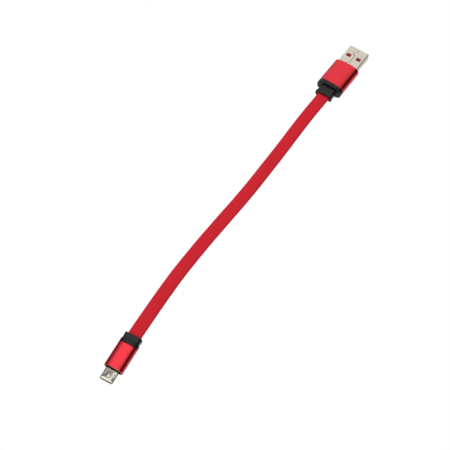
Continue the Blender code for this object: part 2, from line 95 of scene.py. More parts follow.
# Into how many parts each stretch between two points of the route is cut to measure its length
CORD_PARTS = 12


# Frames of the two plugs

def tip_frame(shell, ahead):
    """A plug's frame: +X along its own direction, the origin at the middle of its shell's mouth."""
    turn = Matrix.Rotation(math.atan2(ahead.y, ahead.x), 4, "Z")
    points = [turn.inverted() @ vertex.co for vertex in NODES[shell].data.vertices]
    low = [min(point[axis] for point in points) for axis in range(3)]
    high = [max(point[axis] for point in points) for axis in range(3)]
    tip = Vector((high[0], (low[1] + high[1]) / 2, (low[2] + high[2]) / 2))
    return turn @ Matrix.Translation(tip)


def extent(node, place):
    """A CAD node's lowest and highest corners in a plug's own frame, in millimetres."""
    back = place.inverted()
    points = [back @ vertex.co / MM for vertex in NODES[node].data.vertices]
    low = Vector([min(point[axis] for point in points) for axis in range(3)])
    high = Vector([max(point[axis] for point in points) for axis in range(3)])
    return low, high


def named_axis(rows, name):
    """The axis of the mount or joint with this name."""
    return Vector(next(row for row in rows if row["name"] == name)["axis"])


UP = Vector((0.0, 0.0, 1.0))
PLUG_A = tip_frame("usb_a_shell", named_axis(frame["record"]["mounts"], "usb_a_plug_mouth"))
PLUG_B = tip_frame("micro_shell", named_axis(frame["joints"], "latch_left_press").cross(UP))


# Node materials

class Nodes:
    """A material's node tree, with short calls for the patterns that the materials share."""

    def __init__(self, name):
        self.material = bpy.data.materials.new(name)
        self.material.use_nodes = True
        self.tree = self.material.node_tree
        self.shader = self.tree.nodes["Principled BSDF"]
        self.place = self.add("ShaderNodeTexCoord").outputs["Object"]

    def add(self, kind, **settings):
        node = self.tree.nodes.new(kind)
        for key, value in settings.items():
            setattr(node, key, value)
        return node

    def link(self, source, target):
        self.tree.links.new(source, target)

    def set(self, **values):
        for key, value in values.items():
            self.shader.inputs[key.replace("_", " ")].default_value = value

    def stretched(self, scale):
        """Object coordinates scaled per axis, in features per metre."""
        mapping = self.add("ShaderNodeMapping")
        mapping.inputs["Scale"].default_value = scale
        self.link(self.place, mapping.inputs["Vector"])
        return mapping.outputs["Vector"]

    def noise(self, scale, detail=3.0, roughness=0.55):
        """Noise whose features are about 1 / scale metres long on each axis."""
        texture = self.add("ShaderNodeTexNoise")
        texture.inputs["Scale"].default_value = 1.0
        texture.inputs["Detail"].default_value = detail
        texture.inputs["Roughness"].default_value = roughness
        self.link(self.stretched(scale), texture.inputs["Vector"])
        return texture.outputs["Fac"]

    def levels(self, source, low, high, to_low=0.0, to_high=1.0):
        change = self.add("ShaderNodeMapRange")
        change.inputs["From Min"].default_value = low
        change.inputs["From Max"].default_value = high
        change.inputs["To Min"].default_value = to_low
        change.inputs["To Max"].default_value = to_high
        self.link(source, change.inputs["Value"])
        return change.outputs["Result"]

    def distance(self, centre):
        """Each point's distance in metres from a centre in millimetres, in the piece's own frame."""
        away = self.add("ShaderNodeVectorMath", operation="DISTANCE")
        self.link(self.place, away.inputs[0])
        away.inputs[1].default_value = Vector(centre) * MM
        return away.outputs["Value"]

    def product(self, first, second):
        both = self.add("ShaderNodeMath", operation="MULTIPLY")
        self.link(first, both.inputs[0])
        self.link(second, both.inputs[1])
        return both.outputs["Value"]

    def mixed(self, share, first, second):
        """Two colours, or colour outputs, mixed by a share."""
        mix = self.add("ShaderNodeMix", data_type="RGBA")
        self.link(share, mix.inputs["Factor"])
        for socket, colour in ((mix.inputs["A"], first), (mix.inputs["B"], second)):
            if isinstance(colour, tuple):
                socket.default_value = (*colour, 1.0)
            else:
                self.link(colour, socket)
        return mix.outputs["Result"]

    def worn_edges(self, low, high):
        """0 on flat stretches, 1 on convex edges."""
        return self.levels(self.add("ShaderNodeNewGeometry").outputs["Pointiness"], low, high)

    def colour(self, output):
        self.link(output, self.shader.inputs["Base Color"])

    def roughness(self, output):
        self.link(output, self.shader.inputs["Roughness"])

    def bump(self, heights, strength):
        """Chained bumps of (height output, depth in metres)."""
        normal = None
        for height, depth in heights:
            bump = self.add("ShaderNodeBump")
            bump.inputs["Strength"].default_value = strength
            bump.inputs["Distance"].default_value = depth
            self.link(height, bump.inputs["Height"])
            if normal is not None:
                self.link(normal, bump.inputs["Normal"])
            normal = bump.outputs["Normal"]
        self.link(normal, self.shader.inputs["Normal"])


def anodised_red():
    """Satin red anodising over drawn aluminium: fine lines along the plug and a blasted grain."""
    nodes = Nodes("anodised_red")
    nodes.set(Metallic=1.0, Specular_Tint=(1.0, 0.6, 0.63, 1.0))
    nodes.set(Coat_Weight=0.75, Coat_Roughness=0.22, Coat_IOR=1.38)
    cloud = nodes.noise((180, 260, 260))
    lines = nodes.noise((90, 9000, 9000), 2.0)
    grain = nodes.noise((9000, 9000, 9000), 2.0)
    tone = nodes.mixed(nodes.levels(cloud, 0.3, 0.7), (0.8, 0.026, 0.046), (0.76, 0.023, 0.042))
    nodes.colour(nodes.mixed(nodes.worn_edges(0.54, 0.62), tone, (0.82, 0.2, 0.2)))
    nodes.roughness(nodes.levels(lines, 0.25, 0.75, 0.24, 0.3))
    nodes.bump(((lines, 1.2e-6), (grain, 1.2e-6)), 0.3)
    return nodes.material


def cut_rim():
    """The rims' turned bevel, where the anodising is thinner and shows the metal."""
    nodes = Nodes("cut_rim")
    nodes.set(Metallic=1.0)
    rings = nodes.noise((16000, 500, 500), 2.0)
    nodes.colour(nodes.mixed(nodes.levels(rings, 0.3, 0.7), (0.52, 0.3, 0.3), (0.44, 0.2, 0.21)))
    nodes.roughness(nodes.levels(rings, 0.25, 0.75, 0.2, 0.3))
    nodes.bump(((rings, 1.5e-6),), 0.3)
    return nodes.material


# Painted dark reflections on the micro-B shell's top, in its plug's frame: a ring round the boss, a patch behind
# it, and a strip just before the sleeve where its rim shows in the plate. Each pair of places is where a patch is
# gone and where it is full, each pair of shares is how much of it shows at the two.
SHELL_TOP = 0.9
BOSS_REFLECTION_FADE = (0.7 * MM, 0.95 * MM)
BOSS_SHARES = (0.3, 1.0)
PATCH_CENTRE = (-2.7, -0.55, SHELL_TOP)
PATCH_EDGE = (2.25 * MM, 1.8 * MM)
PATCH_FRONT = (-0.9 * MM, -1.6 * MM)
PATCH_SIDES = (1.5 * MM, -1.0 * MM)
PATCH_SHARES = (0.5, 0.95)
PATCH_REFLECTION_COLOUR = (0.12, 0.115, 0.1)
REAR_FRONT = (-3.0 * MM, -3.9 * MM)
REAR_SIDES = (2.1 * MM, 0.8 * MM)
REAR_SHARES = (0.0, 0.85)
REAR_REFLECTION_COLOUR = (0.19, 0.185, 0.16)
ROOT_FRONT = (-4.9 * MM, -5.6 * MM)
ROOT_SHARES = (0.0, 0.9)
ROOT_REFLECTION_COLOUR = (0.24, 0.235, 0.2)


def painted_reflections(nodes, base):
    """Painted dark reflections on the micro-B shell: round its boss, behind that, and lighter just before the
    sleeve.
    """
    split = nodes.add("ShaderNodeSeparateXYZ")
    nodes.link(nodes.place, split.inputs["Vector"])
    along = split.outputs["X"]
    side = split.outputs["Y"]
    boss = nodes.distance((*B_BOSS, SHELL_TOP))
    around = nodes.distance(PATCH_CENTRE)
    patch = nodes.product(nodes.levels(boss, *BOSS_REFLECTION_FADE, *BOSS_SHARES), nodes.levels(around, *PATCH_EDGE))
    patch = nodes.product(patch, nodes.levels(along, *PATCH_FRONT))
    patch = nodes.product(patch, nodes.levels(side, *PATCH_SIDES, *PATCH_SHARES))
    rear = nodes.product(nodes.levels(along, *REAR_FRONT), nodes.levels(side, *REAR_SIDES, *REAR_SHARES))
    root = nodes.levels(along, *ROOT_FRONT, *ROOT_SHARES)
    # Painted dark reflections, mixed over the plate's own colour
    base = nodes.mixed(patch, base, PATCH_REFLECTION_COLOUR)
    base = nodes.mixed(rear, base, REAR_REFLECTION_COLOUR)
    return nodes.mixed(root, base, ROOT_REFLECTION_COLOUR)


def nickel(name, worn_with_painted_reflections):
    """Nickel plate on stamped steel: rolling lines along the shell, faint stains and small scratches. The worn one
    also has dull patches and painted dark reflections on its top.
    """
    nodes = Nodes(name)
    nodes.set(Metallic=1.0)
    stain = nodes.noise((260, 320, 320), 4.0)
    lines = nodes.noise((160, 11000, 11000), 2.0)
    scratch = nodes.noise((900, 5200, 5200), 5.0, 0.7)
    base = nodes.mixed(nodes.levels(stain, 0.32, 0.68), (0.71, 0.67, 0.58), (0.65, 0.605, 0.52))
    base = nodes.mixed(nodes.levels(scratch, 0.64, 0.74, 0.0, 0.4), base, (0.8, 0.77, 0.7))
    if worn_with_painted_reflections:
        patch = nodes.noise((520, 700, 700), 2.0)
        base = nodes.mixed(nodes.levels(patch, 0.46, 0.6, 0.0, 0.25), base, (0.3, 0.29, 0.25))
        # Painted dark reflections of the sleeve and the boss's groove, over the worn plate's own dull patches
        base = painted_reflections(nodes, base)
    nodes.colour(base)
    smooth, dull = (0.13, 0.21) if worn_with_painted_reflections else (0.07, 0.12)
    nodes.roughness(nodes.levels(stain, 0.25, 0.75, smooth, dull))
    nodes.bump(((lines, 1.0e-6), (scratch, 1.0e-6)), 0.3)
    return nodes.material


def spring_steel():
    nodes = Nodes("spring_steel")
    nodes.set(Metallic=1.0)
    lines = nodes.noise((300, 9000, 9000), 2.0)
    stain = nodes.noise((700, 700, 700))
    nodes.colour(nodes.mixed(nodes.levels(stain, 0.3, 0.7), (0.6, 0.58, 0.53), (0.48, 0.46, 0.42)))
    nodes.roughness(nodes.levels(lines, 0.25, 0.75, 0.24, 0.36))
    nodes.bump(((lines, 2.0e-6),), 0.4)
    return nodes.material


def gold_plate():
    """Gold flash over copper alloy, thinner and browner in patches."""
    nodes = Nodes("gold_plate")
    nodes.set(Metallic=1.0)
    patch = nodes.noise((600, 900, 900), 4.0)
    lines = nodes.noise((200, 8000, 8000), 2.0)
    nodes.colour(nodes.mixed(nodes.levels(patch, 0.35, 0.7), (0.88, 0.66, 0.3), (0.72, 0.46, 0.2)))
    nodes.roughness(nodes.levels(patch, 0.3, 0.7, 0.18, 0.3))
    nodes.bump(((lines, 1.5e-6),), 0.4)
    return nodes.material


def moulded(name, light, dark, rough, depth, specular=0.5, tint=1.0):
    """Moulded plastic: flow clouds in its colour, a spark-eroded grain and a few rubbed spots."""
    nodes = Nodes(name)
    nodes.set(Specular_IOR_Level=specular, Specular_Tint=(tint, tint, tint, 1.0))
    cloud = nodes.noise((300, 300, 300))
    grain = nodes.noise((5200, 5200, 5200), 4.0, 0.6)
    rubbed = nodes.noise((800, 2400, 2400), 4.0, 0.7)
    base = nodes.mixed(nodes.levels(cloud, 0.3, 0.7), light, dark)
    lifted = tuple(min(1.0, 1.5 * value + 0.012) for value in light)
    nodes.colour(nodes.mixed(nodes.levels(rubbed, 0.66, 0.78, 0.0, 0.5), base, lifted))
    nodes.roughness(nodes.levels(grain, 0.3, 0.7, rough[0], rough[1]))
    nodes.bump(((grain, depth), (rubbed, depth * 0.5)), 0.5)
    return nodes.material


def jacket_red():
    """Matte extruded jacket: long faint draw lines, soft mottling and a fine dull skin."""
    nodes = Nodes("jacket_red")
    nodes.set(Specular_IOR_Level=0.12)
    mottle = nodes.noise((55, 110, 110), 4.0, 0.6)
    streak = nodes.noise((14, 1900, 1900), 3.0)
    skin = nodes.noise((4200, 4200, 4200), 3.0, 0.6)
    pores = nodes.noise((1500, 1500, 1500), 4.0, 0.65)
    base = nodes.mixed(nodes.levels(mottle, 0.3, 0.7), (0.53, 0.0105, 0.0205), (0.49, 0.009, 0.0185))
    base = nodes.mixed(nodes.levels(streak, 0.3, 0.75, 0.0, 0.3), base, (0.57, 0.014, 0.025))
    nodes.colour(nodes.mixed(nodes.levels(pores, 0.6, 0.75, 0.0, 0.25), base, (0.42, 0.007, 0.015)))
    nodes.roughness(nodes.levels(pores, 0.3, 0.7, 0.5, 0.66))
    nodes.bump(((streak, 5.0e-6), (pores, 6.0e-6), (skin, 3.0e-6)), 0.4)
    return nodes.material


STRIPPED_EDGE = 0.1 * MM


def wire_insulation(name, light, dark, core_ends):
    """Extruded insulation, with bare copper beyond the two stripped ends (lowest and highest X)."""
    nodes = Nodes(name)
    streak = nodes.noise((60, 3000, 3000), 3.0)
    strands = nodes.noise((500, 7000, 7000), 2.0)
    insulation = nodes.mixed(nodes.levels(streak, 0.3, 0.7), light, dark)
    copper = nodes.mixed(nodes.levels(strands, 0.35, 0.65), (0.84, 0.5, 0.36), (0.6, 0.32, 0.2))
    along = nodes.add("ShaderNodeSeparateXYZ")
    nodes.link(nodes.place, along.inputs["Vector"])
    low, high = core_ends
    beyond_high = nodes.levels(along.outputs["X"], high, high + STRIPPED_EDGE)
    beyond_low = nodes.levels(along.outputs["X"], low, low - STRIPPED_EDGE)
    bare = nodes.add("ShaderNodeMath", operation="MAXIMUM")
    nodes.link(beyond_high, bare.inputs[0])
    nodes.link(beyond_low, bare.inputs[1])
    nodes.colour(nodes.mixed(bare.outputs["Value"], insulation, copper))
    nodes.link(bare.outputs["Value"], nodes.shader.inputs["Metallic"])
    nodes.roughness(nodes.levels(streak, 0.3, 0.7, 0.32, 0.45))
    nodes.bump(((streak, 3.0e-6), (strands, 2.0e-6)), 0.4)
    return nodes.material


# Outlines, as (y, z) points in millimetres

OVAL_POINTS = 128


def oval(width, height, power):
    """A crowned oval whose top, bottom and sides are nearly flat."""
    points = []
    for step in range(OVAL_POINTS):
        angle = 2 * math.pi * (step + 0.5) / OVAL_POINTS
        y = math.copysign(abs(math.cos(angle)) ** (2 / power), math.cos(angle))
        z = math.copysign(abs(math.sin(angle)) ** (2 / power), math.sin(angle))
        points.append((y, z))
    half_width = max(y for y, z in points)
    half_height = max(z for y, z in points)
    return [(y / half_width * width / 2, z / half_height * height / 2) for y, z in points]


def rounded(corners, radius, inset=0.0, steps=8):
    """A convex polygon with each corner rounded, then moved in all round by inset."""
    points = []
    for index, corner in enumerate(corners):
        here = Vector(corner)
        back = (Vector(corners[index - 1]) - here).normalized()
        ahead = (Vector(corners[(index + 1) % len(corners)]) - here).normalized()
        bisector = (back + ahead).normalized()
        half = back.angle(ahead) / 2
        centre = here + bisector * radius / math.sin(half)
        middle = math.atan2(-bisector.y, -bisector.x)
        sweep = math.pi / 2 - half
        for step in range(steps + 1):
            angle = middle - sweep + 2 * sweep * step / steps
            out = Vector((math.cos(angle), math.sin(angle)))
            points.append(tuple(centre + out * (radius - inset)))
    return points


def rectangle(width, height, radius, inset=0.0, steps=8):
    y = width / 2
    z = height / 2
    return rounded(((y, z), (-y, z), (-y, -z), (y, -z)), radius, inset, steps)


def neck(width, height, radius):
    """A rounded rectangle with as many points as an oval, so that a collar can go from one to the other."""
    return rectangle(width, height, radius, 0.0, OVAL_POINTS // 4 - 1)


# Meshes

def shade(mesh, degrees):
    """Smooth shading that stops at edges sharper than this."""
    mesh.shade_smooth()
    mesh.set_sharp_from_angle(angle=math.radians(degrees))


def to_mesh(name, work, degrees=32):
    """Work in millimetres made into a mesh in metres, with its faces turned outwards."""
    bmesh.ops.recalc_face_normals(work, faces=work.faces)
    bmesh.ops.scale(work, vec=(MM, MM, MM), verts=work.verts)
    mesh = bpy.data.meshes.new(name)
    work.to_mesh(mesh)
    work.free()
    shade(mesh, degrees)
    return mesh


def skin(name, rings, ends, degrees=32):
    """Faces between rings of like-numbered points. The ends are capped, or joined to each other."""
    work = bmesh.new()
    rings = [[work.verts.new(point) for point in ring] for ring in rings]
    pairs = list(zip(rings, rings[1:]))
    if ends == "joined":
        pairs.append((rings[-1], rings[0]))
    for near, far in pairs:
        for step in range(len(near)):
            after = (step + 1) % len(near)
            work.faces.new((near[step], near[after], far[after], far[step]))
    if ends == "capped":
        work.faces.new(rings[0])
        work.faces.new(rings[-1])
    return to_mesh(name, work, degrees)


def loft(name, sections, ends="capped", degrees=32):
    """Skin sections of (x, outline) that stand square to X."""
    return skin(name, [[(x, y, z) for y, z in outline] for x, outline in sections], ends, degrees)


def prism(name, outline, low, high):
    """A flat outline in (x, y), given its height from low to high along Z."""
    rings = [[(x, y, z) for x, y in outline] for z in (low, high)]
    return skin(name, rings, "capped")


def add_piece(name, mesh, place, materials, body, replaced=()):
    """A visible piece on one of the part's bodies, standing in for the CAD nodes that it replaces."""
    piece = bpy.data.objects.new(name, mesh)
    bpy.context.scene.collection.objects.link(piece)
    piece.matrix_world = place
    mesh.materials.clear()
    for material in materials:
        mesh.materials.append(material)
    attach(piece, body)
    if replaced:
        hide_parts(*replaced)
    return piece


def carve(piece, cutters, degrees=32):
    """Cut meshes out of a piece, in its own frame. A cutter with a width is a surface of that thickness."""
    helpers = []
    for cutter, width in cutters:
        helper = bpy.data.objects.new(cutter.name, cutter)
        bpy.context.scene.collection.objects.link(helper)
        helper.matrix_world = piece.matrix_world
        if width:
            kerf = helper.modifiers.new("kerf", "SOLIDIFY")
            kerf.thickness = width * MM
            kerf.offset = 0.0
            kerf.use_even_offset = True
        change = piece.modifiers.new(cutter.name, "BOOLEAN")
        change.operation = "DIFFERENCE"
        change.object = helper
        helpers.append(helper)
    bpy.context.view_layer.update()
    graph = bpy.context.evaluated_depsgraph_get()
    mesh = bpy.data.meshes.new_from_object(piece.evaluated_get(graph))
    piece.modifiers.clear()
    bare = piece.data
    piece.data = mesh
    bpy.data.meshes.remove(bare)
    for helper in helpers:
        bpy.data.objects.remove(helper)
    shade(mesh, degrees)
    flats = piece.modifiers.new("flats_stay_flat", "WEIGHTED_NORMAL")
    flats.keep_sharp = True


def ribbon(name, line, low, high):
    """An upright surface along a line of (x, y) points, from low to high along Z."""
    work = bmesh.new()
    columns = [[work.verts.new((x, y, z)) for z in (low, high)] for x, y in line]
    for near, far in zip(columns, columns[1:]):
        work.faces.new((near[0], far[0], far[1], near[1]))
    return to_mesh(name, work)


def soften(piece, width):
    """A narrow round bevel, its width in millimetres, on every sharp edge."""
    bevel = piece.modifiers.new("soft_edges", "BEVEL")
    bevel.width = width * MM
    bevel.segments = 2
    bevel.limit_method = "ANGLE"
    bevel.angle_limit = math.radians(40)
    bevel.harden_normals = True


# Cord

def smooth_line(points, spacing):
    """Points about evenly spaced on the Catmull-Rom curve through the given ones."""
    knots = [Vector(point) for point in points]
    knots = [knots[0] * 2 - knots[1]] + knots + [knots[-1] * 2 - knots[-2]]
    dense = []
    for a, b, c, d in zip(knots, knots[1:], knots[2:], knots[3:]):
        for part in range(CORD_PARTS):
            t = part / CORD_PARTS
            bend = (2 * a - 5 * b + 4 * c - d) * t * t + (3 * b - a - 3 * c + d) * t ** 3
            dense.append((2 * b + (c - a) * t + bend) / 2)
    dense.append(knots[-2])
    travelled = [0.0]
    for near, far in zip(dense, dense[1:]):
        travelled.append(travelled[-1] + (far - near).length)
    count = round(travelled[-1] / spacing)
    line = []
    reached = 0
    for step in range(count + 1):
        wanted = travelled[-1] * step / count
        while reached < len(dense) - 2 and travelled[reached + 1] < wanted:
            reached += 1
        share = (wanted - travelled[reached]) / (travelled[reached + 1] - travelled[reached])
        line.append(dense[reached].lerp(dense[reached + 1], share))
    return line


def directions(line):
    """For each point of the line, its level direction to the left and its up direction."""
    found = []
    for index in range(len(line)):
        ahead = line[min(index + 1, len(line) - 1)] - line[max(index - 1, 0)]
        side = Vector((-ahead.y, ahead.x, 0.0)).normalized()
        found.append((side, ahead.normalized().cross(side)))
    return found


def build_jacket():
    line = smooth_line(ROUTE, CORD_STATION_EVERY)
    outer = rectangle(CORD_WIDTH, CORD_THICK, CORD_CORNER, 0.0, CORD_CORNER_STEPS)
    inner = rectangle(CORD_WIDTH, CORD_THICK, CORD_CORNER, CORD_WALL, CORD_CORNER_STEPS)
    stations = list(zip(line, directions(line)))
    rings = [[point + side * y + up * z for y, z in outer] for point, (side, up) in stations]
    rings += [[point + side * y + up * z for y, z in inner] for point, (side, up) in reversed(stations)]
    mesh = skin("cord_jacket", rings, "joined", degrees=50)
    jacket = add_piece(
        "cord_jacket", mesh, Matrix.Identity(4), [jacket_red()], "root", ("cable_jacket",)
    )


# Camera, light and floor

def add_camera():
    data = bpy.data.cameras.new("camera")
    data.lens = CAMERA_LENS
    data.sensor_width = CAMERA_SENSOR
    data.clip_start, data.clip_end = CAMERA_CLIP
    camera = bpy.data.objects.new("camera", data)
    bpy.context.scene.collection.objects.link(camera)
    ahead = (CAMERA_TARGET - CAMERA_PLACE).normalized()
    right = ahead.cross(UP).normalized()
    up = right.cross(ahead)
    cos = math.cos(CAMERA_ROLL)
    sin = math.sin(CAMERA_ROLL)
    turned_right = right * cos + up * sin
    turned_up = up * cos - right * sin
    turn = Matrix((turned_right, turned_up, -ahead)).transposed().to_4x4()
    camera.matrix_world = Matrix.Translation(CAMERA_PLACE) @ turn
    bpy.context.scene.camera = camera


# The studio: a broad wedge of light from the backdrop up over the cable, with darker sides. Each of its
# two edges has a level direction across it, and where along that the light is full and where it has gone.
NEAR_ACROSS = Vector((-0.25, 0.968, 0.0))
NEAR_FADE = (0.2, -0.3)
NEAR_FADED = 0.76
NEAR_EDGE = (-0.3, -0.66)
NEAR_GLOW = 0.05
FAR_ACROSS = Vector((-0.5, 0.866, 0.0))
FAR_EDGE = (0.3, 0.72)
FAR_GLOW = 0.13
LOW_GLOW = 0.93
HIGH_GLOW = 1.36
CLIMB = (0.72, 0.93)
FILL_GLOW = 1.15
FILL_LEAN = Vector((-0.3, 0.55, 0.0))
# The table: brighter beside the cable than further out from it
TABLE_REACH = (8.0 * MM, 22.0 * MM)
TABLE_GLOW = (0.68, 0.44)
TABLE_FILL = 0.4
TABLE_HALF = 3.0
TABLE_BELOW = 0.05 * MM
WHITE = (1.0, 1.0, 1.0, 1.0)


class Shading:
    """A node tree for the world or the floor, with short calls for its sums."""

    def __init__(self, owner):
        owner.use_nodes = True
        self.tree = owner.node_tree
        self.tree.nodes.clear()
        self.rays = self.add("ShaderNodeLightPath").outputs

    def add(self, kind):
        return self.tree.nodes.new(kind)

    def feed(self, socket, value):
        if isinstance(value, bpy.types.NodeSocket):
            self.tree.links.new(value, socket)
        else:
            socket.default_value = value

    def sum(self, operation, first, second=0.0):
        node = self.add("ShaderNodeMath")
        node.operation = operation
        self.feed(node.inputs[0], first)
        self.feed(node.inputs[1], second)
        return node.outputs["Value"]

    def dot(self, first, second):
        node = self.add("ShaderNodeVectorMath")
        node.operation = "DOT_PRODUCT"
        self.feed(node.inputs[0], first)
        self.feed(node.inputs[1], second)
        return node.outputs["Value"]

    def ramp(self, value, low, high, to_low, to_high):
        node = self.add("ShaderNodeMapRange")
        node.interpolation_type = "SMOOTHSTEP"
        self.feed(node.inputs["Value"], value)
        self.feed(node.inputs["From Min"], low)
        self.feed(node.inputs["From Max"], high)
        self.feed(node.inputs["To Min"], to_low)
        self.feed(node.inputs["To Max"], to_high)
        return node.outputs["Result"]

    def choose(self, share, first, second):
        """first where share is 0, second where it is 1."""
        node = self.add("ShaderNodeMix")
        self.feed(node.inputs["Factor"], share)
        self.feed(node.inputs["A"], first)
        self.feed(node.inputs["B"], second)
        return node.outputs["Result"]


def add_world():
    """White to the camera, the studio's strip and dark sides to gloss, and a soft fill to matt surfaces."""
    world = bpy.data.worlds.new("studio")
    bpy.context.scene.world = world
    sky = Shading(world)
    towards = sky.add("ShaderNodeTexCoord").outputs["Generated"]
    height = sky.dot(towards, UP)
    gloss = sky.ramp(height, *CLIMB, LOW_GLOW, HIGH_GLOW)
    gloss = sky.ramp(sky.dot(towards, FAR_ACROSS), *FAR_EDGE, gloss, FAR_GLOW)
    near = sky.dot(towards, NEAR_ACROSS)
    gloss = sky.sum("MULTIPLY", gloss, sky.ramp(near, *NEAR_FADE, 1.0, NEAR_FADED))
    gloss = sky.ramp(near, *NEAR_EDGE, gloss, NEAR_GLOW)
    fill = sky.sum("ADD", sky.dot(towards, FILL_LEAN), FILL_GLOW)
    glow = sky.choose(sky.rays["Is Diffuse Ray"], gloss, fill)
    glow = sky.choose(sky.rays["Is Camera Ray"], glow, 1.0)
    background = sky.add("ShaderNodeBackground")
    sky.feed(background.inputs["Strength"], glow)
    output = sky.add("ShaderNodeOutputWorld")
    sky.feed(output.inputs["Surface"], background.outputs["Background"])
    background.inputs["Color"].default_value = WHITE


def add_floor():
    """A white table that lights itself, so that no shadow shows on it."""
    material = bpy.data.materials.new("white_table")
    top = Shading(material)
    place = top.add("ShaderNodeTexCoord").outputs["Object"]
    beside = top.sum("ABSOLUTE", top.dot(place, (0.0, 1.0, 0.0)))
    glow = top.ramp(beside, *TABLE_REACH, *TABLE_GLOW)
    glow = top.choose(top.rays["Is Diffuse Ray"], glow, TABLE_FILL)
    glow = top.choose(top.rays["Is Camera Ray"], glow, 1.0)
    shine = top.add("ShaderNodeEmission")
    shine.inputs["Color"].default_value = WHITE
    top.feed(shine.inputs["Strength"], glow)
    output = top.add("ShaderNodeOutputMaterial")
    top.feed(output.inputs["Surface"], shine.outputs["Emission"])
    work = bmesh.new()
    bmesh.ops.create_grid(work, x_segments=1, y_segments=1, size=TABLE_HALF)
    bmesh.ops.translate(work, vec=(0.0, 0.0, -TABLE_BELOW), verts=work.verts)
    mesh = bpy.data.meshes.new("table")
    work.to_mesh(mesh)
    work.free()
    mesh.materials.append(material)
    table = bpy.data.objects.new("table", mesh)
    bpy.context.scene.collection.objects.link(table)


# Plug pieces

RIM_BEVEL = 0.16
RIM_EASE = 0.05
SLEEVE_WALL = 0.5
SLEEVE_FLARE = 0.12
SLEEVE_FLARE_DEPTH = 0.1
A_SLEEVE_POWER = 3.0
B_SLEEVE_POWER = 2.8


def fine_sleeve(name, node, place, power, bare_front):
    """The CAD sleeve with a finer outline and a turned bevel on both rims; the front one may be bare."""
    low, high = extent(node, place)
    width = high.y - low.y
    height = high.z - low.z

    def ring(smaller):
        return oval(width - smaller, height - smaller, power)

    inner = ring(2 * SLEEVE_WALL)
    flare = ring(2 * SLEEVE_WALL - SLEEVE_FLARE)
    rim = ring(2 * RIM_BEVEL)
    ease = ring(RIM_EASE)
    outer = ring(0.0)
    sections = (
        (high.x - SLEEVE_FLARE_DEPTH, inner),
        (high.x, flare),
        (high.x, rim),
        (high.x - RIM_BEVEL, ease),
        (high.x - RIM_BEVEL - RIM_EASE, outer),
        (low.x + RIM_BEVEL + RIM_EASE, outer),
        (low.x + RIM_BEVEL, ease),
        (low.x, rim),
        (low.x, flare),
        (low.x + SLEEVE_FLARE_DEPTH, inner),
    )
    mesh = loft(name, sections, "joined", degrees=24)
    add_piece(name, mesh, place, [RED_METAL, RIM_METAL], "root", (node,))
    for face in mesh.polygons:
        on_front = face.center.x / MM > high.x - RIM_BEVEL
        face.material_index = 1 if bare_front and on_front else 0


ROUND_STEPS = 6
# How far the flange reaches into the sleeve, so that no light shows between them
SPIGOT = 0.08
SPIGOT_SMALLER = 0.12
# The cord's opening in a collar: how much wider and higher than the cord, and rounder at its corners
SLOT_LARGER = (0.34, 0.2, 0.1)
MOUTH_LARGER = (0.7, 0.56, 0.28)
MOUTH_DEPTH = 0.18


def round_over(edge, along, inwards, width, height, power):
    """Sections of an oval whose rear edge, at x = edge, is rounded."""
    sections = []
    for step in range(ROUND_STEPS + 1):
        angle = math.pi / 2 * step / ROUND_STEPS
        x = edge + along * (1 - math.sin(angle))
        shrink = 2 * inwards * (1 - math.cos(angle))
        sections.append((x, oval(width - shrink, height - shrink, power)))
    return sections


def around_cord(larger):
    """The cord's outline, made larger by (width, height, corner)."""
    width, height, corner = larger
    return rectangle(CORD_WIDTH + width, CORD_THICK + height, CORD_CORNER + corner)


def fine_collar(name, node, place, sleeve_node, power, flange_end, rounding, neck_sections):
    """A flange the size of the sleeve, then a neck with an undercut root, open for the cord."""
    low, high = extent(node, place)
    sleeve_low, sleeve_high = extent(sleeve_node, place)
    width = sleeve_high.y - sleeve_low.y
    height = sleeve_high.z - sleeve_low.z
    sections = [
        (high.x + SPIGOT, oval(width - SPIGOT_SMALLER, height - SPIGOT_SMALLER, power)),
        (high.x, oval(width, height, power)),
    ]
    sections += round_over(flange_end, *rounding, width, height, power)
    sections += [(x, neck(*size)) for x, size in neck_sections]
    mesh = loft(name, sections, "capped", degrees=30)
    piece = add_piece(name, mesh, place, [BLACK], "root", (node,))
    slot = around_cord(SLOT_LARGER)
    mouth = around_cord(MOUTH_LARGER)
    cutter = (
        (high.x + 1.0, slot),
        (low.x + MOUTH_DEPTH, slot),
        (low.x - 0.05, mouth),
        (low.x - 1.0, mouth),
    )
    carve(piece, [(loft("cord_slot", cutter), None)], degrees=30)


# Each collar: its flange's end, how the flange is rounded (along, inwards), and its neck, as rows of
# x and an outline's width, height and corner radius
A_FLANGE_END = -32.45
A_FLANGE_ROUNDING = (0.25, 0.25)
A_NECK_END = -38.1
A_NECK = (
    (A_FLANGE_END, (9.75, 4.85, 1.4)),
    (A_FLANGE_END - 0.12, (9.5, 4.65, 1.3)),
    (A_FLANGE_END - 0.6, (9.5, 4.55, 1.3)),
    (A_NECK_END + 2.1, (9.5, 4.35, 1.3)),
    (A_NECK_END + 1.4, (9.75, 4.25, 1.25)),
    (A_NECK_END + 0.9, (10.15, 4.1, 1.2)),
    (A_NECK_END + 0.3, (10.2, 3.9, 1.2)),
    (A_NECK_END + 0.08, (10.05, 3.75, 1.1)),
    (A_NECK_END, (9.8, 3.5, 1.0)),
)
B_FLANGE_END = -21.6
B_FLANGE_ROUNDING = (0.8, 0.36)
B_NECK_END = -24.7
B_NECK = (
    (B_FLANGE_END, (8.85, 4.72, 1.2)),
    (B_FLANGE_END - 0.06, (8.6, 4.6, 1.15)),
    (B_FLANGE_END - 0.3, (8.65, 4.56, 1.15)),
    (B_NECK_END + 0.8, (9.0, 4.4, 1.2)),
    (B_NECK_END + 0.25, (9.1, 4.25, 1.15)),
    (B_NECK_END + 0.06, (8.9, 4.0, 1.1)),
    (B_NECK_END, (8.6, 3.7, 1.0)),
)
A_WALL = 0.3
